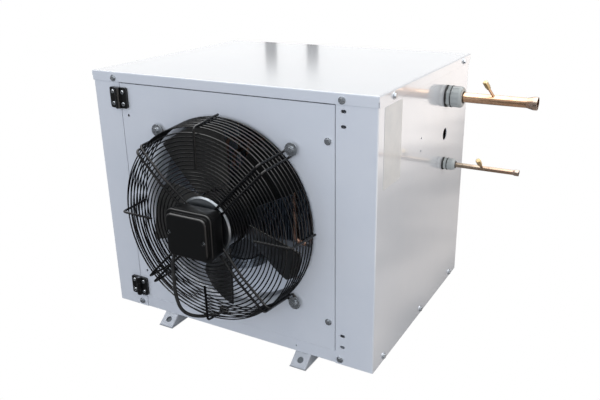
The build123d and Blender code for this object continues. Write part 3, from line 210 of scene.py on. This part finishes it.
finishes = {
    "white_powder_coat": surface(
        "white_powder_coat", srgb(224, 227, 232), srgb(219, 223, 229), rough=0.24, rough_spread=0.05,
        coat=1.0, patch=7.0, grain=420.0, grain_depth=0.00001, worn=srgb(205, 208, 212),
    ),
    "foot_grey": surface(
        "foot_grey", srgb(196, 200, 206), srgb(184, 189, 196), rough=0.42, worn=srgb(150, 153, 158),
        tint=streaks(srgb(150, 152, 155), 50.0, 0.35),
    ),
    "black_wire": surface(
        "black_wire", srgb(11, 12, 14), srgb(7, 8, 10), rough=0.24, grain=700.0,
        grain_depth=0.00001, worn=srgb(36, 38, 42), edge=0.0003, worn_amount=0.1, specular=0.35,
    ),
    "black_plastic": surface(
        "black_plastic", srgb(13, 14, 15), srgb(9, 10, 11), rough=0.34, coat=0.25, grain=1100.0,
        worn=srgb(50, 53, 57), edge=0.0010, specular=0.4,
    ),
    "motor_metal": surface(
        "motor_metal", srgb(164, 170, 176), srgb(140, 146, 152), rough=0.36, rough_spread=0.16, metal=1.0,
        patch=40.0, grain=600.0, grain_depth=0.00005, worn=srgb(226, 228, 230),
    ),
    "rotor_black": surface(
        "rotor_black", srgb(14, 15, 16), srgb(9, 10, 11), rough=0.36, grain=500.0,
        grain_depth=0.00006, worn=srgb(60, 62, 66), specular=0.35,
    ),
    "zinc_steel": surface(
        "zinc_steel", srgb(214, 219, 224), srgb(182, 188, 195), rough=0.26, rough_spread=0.15, metal=0.82,
        patch=90.0, worn=srgb(222, 224, 226), edge=0.0004, tint=spangle,
    ),
    "black_rubber": surface(
        "black_rubber", srgb(30, 30, 31), srgb(38, 38, 38), rough=0.72, patch=60.0, grain=1500.0,
        grain_depth=0.00004, worn=srgb(62, 62, 62), tint=streaks(srgb(70, 70, 69), 120.0, 0.3),
    ),
    "gland_grey": surface(
        "gland_grey", srgb(184, 188, 187), srgb(173, 179, 178), rough=0.38, grain=1400.0,
        worn=srgb(170, 173, 175), edge=0.0005,
    ),
    "copper": surface(
        "copper", srgb(172, 136, 114), srgb(138, 104, 86), rough=0.3, rough_spread=0.16, metal=1.0,
        patch=45.0, grain=500.0, worn=srgb(236, 178, 140), edge=0.0004,
        tint=streaks(srgb(140, 76, 50), 55.0, 0.55),
    ),
    "brass_fittings": surface(
        "brass_fittings", srgb(188, 168, 130), srgb(158, 138, 102), rough=0.26, rough_spread=0.14, metal=1.0,
        patch=70.0, worn=srgb(236, 214, 158), edge=0.0004, tint=streaks(srgb(124, 96, 56), 90.0, 0.35),
    ),
    "black_paint": surface(
        "black_paint", srgb(28, 29, 31), srgb(22, 23, 25), rough=0.3, coat=0.3, grain=380.0,
        grain_depth=0.00006, worn=srgb(88, 90, 94),
    ),
    "green_paint": surface(
        "green_paint", srgb(62, 104, 76), srgb(52, 92, 66), rough=0.34, coat=0.2, grain=420.0,
        grain_depth=0.00005, worn=srgb(120, 140, 126),
    ),
    "grey_paint": surface(
        "grey_paint", srgb(168, 172, 176), srgb(158, 163, 168), rough=0.42, grain=520.0,
        worn=srgb(110, 113, 117),
    ),
}


def paint_frame():
    """Every CAD node takes the finish of its slot in the record."""
    for part in frame["record"]["subparts"]:
        node = frame["nodes"][part["node"]]
        node.data.materials.clear()
        node.data.materials.append(finishes[part["material_slot"]])


def paint_pipes():
    """The two service pipes are heat-stained where they were brazed."""
    suction = surface(
        "copper_suction", srgb(206, 172, 142), srgb(184, 148, 120), rough=0.24, rough_spread=0.12,
        metal=1.0, patch=40.0, grain=500.0, worn=srgb(240, 186, 150), edge=0.0004,
        tint=heat_stain(flare_start, flare_end),
    )
    liquid = surface(
        "copper_liquid", srgb(160, 148, 132), srgb(126, 112, 98), rough=0.3, rough_spread=0.12,
        metal=1.0, patch=60.0, grain=500.0, worn=srgb(200, 160, 130), edge=0.0003,
        tint=heat_stain(liquid_start, liquid_end),
    )
    for name, finish in (("suction_pipe", suction), ("liquid_pipe", liquid)):
        node = frame["nodes"][name]
        node.data.materials.clear()
        node.data.materials.append(finish)


# ------------------------------------------------------------------ pieces added to the frame
def piece_from_mesh(name, shape, body, finish):
    """A bmesh becomes a piece that rides on a body."""
    mesh = bpy.data.meshes.new(name)
    shape.to_mesh(mesh)
    shape.free()
    piece = bpy.data.objects.new(name, mesh)
    bpy.context.scene.collection.objects.link(piece)
    mesh.materials.append(finish)
    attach(piece, body)


def rounded_outline(width, tall, corner, steps=6):
    """Corner points of a rounded rectangle about the origin."""
    points = []
    for turn in range(4):
        cx = (width / 2 - corner) * (1 if turn in (0, 3) else -1)
        cy = (tall / 2 - corner) * (1 if turn in (0, 1) else -1)
        for step in range(steps + 1):
            angle = math.pi / 2 * (turn + step / steps)
            points.append((cx + corner * math.cos(angle), cy + corner * math.sin(angle)))
    return points


def slab(outline, thick, place):
    """A flat plate of an outline, thick along its own Z, with a fine chamfer, put at a matrix."""
    chamfer_share = 0.3
    shape = bmesh.new()
    low = [shape.verts.new((x, y, 0)) for x, y in outline]
    face = shape.faces.new(low)
    grown = bmesh.ops.extrude_face_region(shape, geom=[face])
    top = [v for v in grown["geom"] if isinstance(v, bmesh.types.BMVert)]
    bmesh.ops.translate(shape, verts=top, vec=(0, 0, thick))
    bmesh.ops.recalc_face_normals(shape, faces=shape.faces[:])
    rim = [e for e in shape.edges if all(v in top for v in e.verts)]
    bmesh.ops.bevel(shape, geom=rim, offset=thick * chamfer_share, segments=2, affect="EDGES")
    shape.transform(place)
    return shape


def make_rating_plate():
    """A bare plate on the right side, near the front edge."""
    finish = surface(
        "plate_film", srgb(224, 224, 222), srgb(216, 217, 216), rough=0.36, rough_spread=0.08, coat=0.3,
        patch=30.0, grain=1500.0, worn=srgb(190, 190, 188), edge=0.0002,
    )
    width, tall, corner, thick = 0.075, 0.138, 0.003, 0.0004
    behind_front, above_base = 0.0615, 0.408
    middle = Vector((casing_right, casing_front + behind_front, casing_base + above_base))
    facing = Matrix(((0, 0, 1), (1, 0, 0), (0, 1, 0))).to_4x4()
    shape = slab(rounded_outline(width, tall, corner), thick, Matrix.Translation(middle) @ facing)
    piece_from_mesh("rating_plate_bare", shape, "casing", finish)


def islands(node):
    """(lowest, highest corner) of each separate solid of a CAD node."""
    mesh = frame["nodes"][node].data
    owner = {}
    keys = [tuple(round(c, 5) for c in v.co) for v in mesh.vertices]

    def find(key):
        while owner.setdefault(key, key) != key:
            owner[key] = owner[owner[key]]
            key = owner[key]
        return key

    for polygon in mesh.polygons:
        corners = [keys[i] for i in polygon.vertices]
        for corner in corners[1:]:
            owner[find(corner)] = find(corners[0])
    groups = {}
    for key in keys:
        groups.setdefault(find(key), []).append(key)
    return [
        tuple(Vector([pick(p[i] for p in group) for i in range(3)]) for pick in (min, max))
        for group in groups.values()
    ]


def cross_outline(reach, half):
    """Corner points of a cross with four equal arms, each 2 x half wide."""
    quarter = [(reach, -half), (reach, half), (half, half)]
    points = []
    for turn in range(4):
        c, s = round(math.cos(turn * math.pi / 2)), round(math.sin(turn * math.pi / 2))
        points += [(c * x - s * y, s * x + c * y) for x, y in quarter]
    return points


def make_screw_crosses(name, nodes, body, finish):
    """Dark crosses on the screw heads that look to the front: painted shade of their cross recesses."""
    thick, lift = 0.00008, 0.00002
    reach_share, arm_share = 0.28, 0.24
    shape = bmesh.new()
    for node in nodes:
        for low, high in islands(node):
            middle = Vector(((low.x + high.x) / 2, low.y + lift, (low.z + high.z) / 2))
            reach = (high.x - low.x) * reach_share
            facing = Matrix.Rotation(math.pi / 2, 4, "X")
            spin = Matrix.Rotation(random.uniform(0, math.pi / 2), 4, "Z")
            place = Matrix.Translation(middle) @ facing @ spin
            mark = slab(cross_outline(reach, reach * arm_share), thick, place)
            copy = bpy.data.meshes.new("mark")
            mark.to_mesh(copy)
            mark.free()
            shape.from_mesh(copy)
            bpy.data.meshes.remove(copy)
    piece_from_mesh(name, shape, body, finish)


def make_weld_beads():
    """Small weld beads where the front rings cross the wires of the guard's double spokes."""
    shape = bmesh.new()
    bead_radius = 0.0015
    ring_wire_radius = 0.00125
    to_spoke = 0.0013
    spoke_spread = 0.007
    for low, high in islands("guard_rings"):
        radius = (high.x - low.x) / 2 - ring_wire_radius
        depth = (low.y + high.y) / 2
        for quarter in range(4):
            diagonal = math.radians(45 + 90 * quarter)
            for offset in (-spoke_spread, spoke_spread):
                along = math.sqrt(radius**2 - offset**2)
                x = along * math.cos(diagonal) - offset * math.sin(diagonal)
                z = along * math.sin(diagonal) + offset * math.cos(diagonal)
                place = Matrix.Translation((fan_x + x, depth - to_spoke, fan_z + z))
                stretch = Matrix.Diagonal((1.0, random.uniform(0.9, 1.15), 1.0, 1.0))
                bmesh.ops.create_icosphere(
                    shape, subdivisions=2, radius=bead_radius, matrix=place @ stretch
                )
    for face in shape.faces:
        face.smooth = True
    piece_from_mesh("guard_weld_beads", shape, "door", finishes["black_wire"])


# ------------------------------------------------------------------ motor cable
def make_motor_cable():
    """The fan motor's cable, from the terminal box to the grommet in the door."""
    cable_radius = 0.00325
    # the smooth curve is shorter than the straight lines between its points
    route = [
        (-0.0522, -0.0905, -0.0521),
        (-0.0625, -0.0904, -0.0680),
        (-0.0600, -0.0930, -0.1040),
        (-0.0600, -0.0930, -0.1420),
        (-0.0520, -0.0880, -0.1760),
        (-0.0340, -0.0660, -0.1930),
        (-0.0220, -0.0340, -0.2010),
        (-0.0200, -0.0160, -0.2070),
        (-0.0200, 0.0010, -0.2070),
    ]
    points = [Vector((fan_x + x, casing_front + y, fan_z + z)) for x, y, z in route]
    curve = bpy.data.curves.new("motor_cable_run", "CURVE")
    curve.dimensions = "3D"
    curve.bevel_depth = cable_radius
    curve.bevel_resolution = 6
    curve.resolution_u = 16
    curve.use_fill_caps = True
    spline = curve.splines.new("NURBS")
    spline.points.add(len(points) - 1)
    for slot, point in zip(spline.points, points):
        slot.co = (*point, 1.0)
    spline.order_u = 3
    spline.use_endpoint_u = True
    cable = bpy.data.objects.new("motor_cable_run", curve)
    bpy.context.scene.collection.objects.link(cable)
    curve.materials.append(finishes["black_rubber"])
    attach(cable, "door")
    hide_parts("motor_cable")


# ------------------------------------------------------------------ studio
camera_turn = math.radians(29.92)
camera_fall = math.radians(20.55)
camera_roll = math.radians(-1.099)
camera_lens = 39.965
room_strength = 1.42
wall_dim, wall_bright = 0.6, 1.14
ceiling_bright = 5.0
post_half_width = 0.0095
post_angles = [camera_turn + math.radians(2.2), camera_turn - math.radians(1.3)]
floor_glow = 0.09
side_glow_far = 1.75


def make_camera():
    """A camera in front, to the right and above."""
    from_left, from_front, above_base = 0.9926, 0.9296, 0.7093
    place = Vector((casing_left + from_left, casing_front - from_front, casing_base + above_base))
    ahead = Vector((
        -math.sin(camera_turn) * math.cos(camera_fall),
        math.cos(camera_turn) * math.cos(camera_fall),
        -math.sin(camera_fall),
    ))
    right = Vector((math.cos(camera_turn), math.sin(camera_turn), 0))
    upward = right.cross(ahead)
    level = Matrix((right, upward, -ahead)).transposed()
    turn = level @ Matrix.Rotation(camera_roll, 3, "Z")
    data = bpy.data.cameras.new("camera")
    data.sensor_width = 36.0
    data.sensor_fit = "HORIZONTAL"
    data.lens = camera_lens
    data.clip_end = 20.0
    camera = bpy.data.objects.new("camera", data)
    camera.matrix_world = Matrix.Translation(place) @ turn.to_4x4()
    bpy.context.scene.collection.objects.link(camera)
    bpy.context.scene.camera = camera


def make_light(name, place, target, width, height, power, colour):
    """A rectangular lamp that looks at a target."""
    data = bpy.data.lights.new(name, "AREA")
    data.shape = "RECTANGLE"
    data.size = width
    data.size_y = height
    data.energy = power
    data.color = colour[:3]
    lamp = bpy.data.objects.new(name, data)
    lamp.location = place
    lamp.rotation_euler = (Vector(target) - Vector(place)).to_track_quat("-Z", "Y").to_euler()
    bpy.context.scene.collection.objects.link(lamp)
    return lamp


def ray_choice(graph, usual, special, kind="Is Camera Ray"):
    """One shader for every ray, and a special one for one kind of ray."""
    path = graph.add("ShaderNodeLightPath")
    choice = graph.add("ShaderNodeMixShader")
    graph.set(choice.inputs[0], path.outputs[kind])
    graph.set(choice.inputs[1], usual)
    graph.set(choice.inputs[2], special)
    return choice.outputs[0]


def make_world():
    """Even light, cool in front and weaker on the right. Glossy rays see a room, the camera sees white."""
    world = bpy.data.worlds.new("studio")
    bpy.context.scene.world = world
    world.use_nodes = True
    graph = Graph(world.node_tree)
    direction = graph.add("ShaderNodeTexCoord").outputs["Generated"]
    parts = graph.add("ShaderNodeSeparateXYZ", Vector=direction)
    across, depth, height = (parts.outputs[axis] for axis in "XYZ")
    sky = graph.mix(graph.ramp(depth, 0.2, -0.6), srgb(205, 205, 205), srgb(229, 238, 255))
    sky = graph.mix(graph.ramp(across, 0.1, 0.7), sky, srgb(184, 181, 178))
    sky = graph.mix(graph.ramp(height, 0.35, 0.7), sky, srgb(170, 171, 172))
    room = graph.add("ShaderNodeBackground", Color=sky, Strength=room_strength)
    # what glossy rays see: a wall that is brighter behind the object, two dark posts, a bright ceiling
    turn = graph.maths("ARCTAN2", graph.maths("MULTIPLY", across, -1.0), depth)
    posts = 0.0
    for middle in post_angles:
        away = graph.maths("ABSOLUTE", graph.maths("SUBTRACT", turn, middle))
        posts = graph.maths("MAXIMUM", posts, graph.ramp(away, post_half_width, post_half_width * 0.8))
    low_part = graph.ramp(height, 0.175, 0.145)
    posts = graph.maths("MULTIPLY", posts, low_part)
    wall = graph.ramp(depth, 0.2, 0.6, wall_dim, wall_bright)
    wall = graph.maths("MAXIMUM", wall, graph.ramp(height, 0.5, 0.75, 0.0, ceiling_bright))
    wall = graph.maths("MULTIPLY", wall, graph.ramp(posts, 0.0, 1.0, 1.0, 0.05))
    mirrored = graph.add("ShaderNodeBackground", Color=(1, 1, 1, 1), Strength=wall)
    white = graph.add("ShaderNodeBackground", Color=(1, 1, 1, 1), Strength=1.0)
    shader = ray_choice(graph, room.outputs[0], mirrored.outputs[0], "Is Glossy Ray")
    shader = ray_choice(graph, shader, white.outputs[0])
    output = graph.add("ShaderNodeOutputWorld")
    graph.set(output.inputs["Surface"], shader)


def make_floor():
    """A wide pale floor. The camera sees it white, except for painted shade, a flat dark colour under and
    just behind the foot rails, and glossy rays see a glow to the right of the casing."""
    floor_half, below_feet = 4.0, 0.0005
    # size and soft edge of the painted shade under the foot rails
    shade_blur, shade_reach = 0.002, 0.03
    shape = bmesh.new()
    bmesh.ops.create_grid(shape, x_segments=8, y_segments=8, size=floor_half)
    mesh = bpy.data.meshes.new("floor")
    shape.to_mesh(mesh)
    shape.free()
    floor = bpy.data.objects.new("floor", mesh)
    floor.location = (0, 0, cad_low.z - below_feet)
    bpy.context.scene.collection.objects.link(floor)
    material = bpy.data.materials.new("floor")
    material.use_nodes = True
    graph = Graph(material.node_tree)
    place = graph.add("ShaderNodeTexCoord").outputs["Object"]
    tone = graph.mix(graph.noise(place, 3.0), srgb(196, 197, 199), srgb(202, 203, 205))
    matt = graph.add("ShaderNodeBsdfDiffuse", Color=tone)
    parts = graph.add("ShaderNodeSeparateXYZ", Vector=place)
    across, depth = parts.outputs["X"], parts.outputs["Y"]
    beyond = graph.ramp(across, casing_right - 0.05, casing_right + 0.05)
    wander = graph.ramp(graph.noise(place, 2.2, 2.0), 0.3, 0.7, -0.12, 0.12)
    distance = graph.maths("ADD", graph.maths("SUBTRACT", across, casing_right), wander)
    bands = graph.maths("SINE", graph.maths("MULTIPLY", distance, 22.0))
    side_glow = graph.ramp(bands, -1.0, 1.0, 0.24, 0.52)
    side_glow = graph.maths("MAXIMUM", side_glow, graph.ramp(distance, 0.34, 0.6, 0.0, side_glow_far))
    glow = graph.maths("ADD", graph.maths("MULTIPLY", beyond, side_glow), floor_glow)
    warm = graph.mix(beyond, (1, 1, 1, 1), srgb(255, 246, 240))
    mirrored = graph.add("ShaderNodeEmission", Color=warm, Strength=glow)
    shader = ray_choice(graph, matt.outputs[0], mirrored.outputs[0], "Is Glossy Ray")
    # painted shade: the camera sees a flat dark colour on the floor under each foot rail, in place of the
    # rails' shadow
    shade = 0.0
    for rail in ("foot_rail_left", "foot_rail_right"):
        low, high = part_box(rail)
        shade_end = high.y + shade_reach
        inside = graph.ramp(across, low.x - shade_blur, low.x)
        inside = graph.maths("MULTIPLY", inside, graph.ramp(across, high.x + shade_blur, high.x))
        inside = graph.maths("MULTIPLY", inside, graph.ramp(depth, low.y - shade_blur, low.y))
        inside = graph.maths("MULTIPLY", inside, graph.ramp(depth, shade_end, shade_end - shade_blur))
        shade = graph.maths("MAXIMUM", shade, inside)
    seen = graph.add("ShaderNodeEmission", Strength=1.0)
    graph.set(seen.inputs["Color"], graph.mix(shade, (1, 1, 1, 1), srgb(96, 102, 108)))
    shader = ray_choice(graph, shader, seen.outputs[0])
    output = graph.add("ShaderNodeOutputMaterial")
    graph.set(output.inputs["Surface"], shader)
    mesh.materials.append(material)


def make_lights():
    """Three large lamps round the object, and a small one over the tray inside it."""
    middle = ((casing_left + casing_right) / 2, (casing_front + casing_back) / 2, casing_top)
    make_light(
        "overhead", (0.0, 0.3, 2.2), middle, width=1.6, height=1.6, power=1.5, colour=srgb(255, 252, 248)
    )
    front = make_light(
        "front", (1.2, casing_front - 1.9, 1.2), (0, casing_front, 0.25),
        width=1.8, height=1.2, power=7.5, colour=srgb(236, 244, 255),
    )
    # the lid would mirror this lamp as pure white when it is seen from behind
    front.visible_glossy = False
    make_light(
        "right", (casing_right + 1.6, casing_back - 0.1, 1.2), (casing_right, 0, 0.3),
        width=1.2, height=1.2, power=4.0, colour=srgb(255, 246, 240),
    )
    make_light(
        "inner", (fan_x, casing_front + 0.2, casing_base + 0.14), (fan_x, casing_front + 0.21, casing_base),
        width=0.36, height=0.2, power=0.28, colour=srgb(228, 236, 250),
    )


def main():
    bpy.context.scene.view_settings.view_transform = "Standard"
    make_camera()
    make_world()
    make_floor()
    make_lights()
    paint_frame()
    paint_pipes()
    # painted shade: the dark colour of the crosses that stand for the shade in the screws' cross recesses
    recess = surface(
        "recess_shadow", srgb(34, 35, 37), srgb(24, 25, 27), rough=0.6, patch=300.0, worn=srgb(60, 60, 62)
    )
    make_motor_cable()
    make_rating_plate()
    make_screw_crosses("hinge_crosses_casing", ["hinge_fixed_screws"], "casing", recess)
    make_screw_crosses("hinge_crosses_door", ["hinge_door_screws", "terminal_box_screws"], "door", recess)
    make_weld_beads()


main()
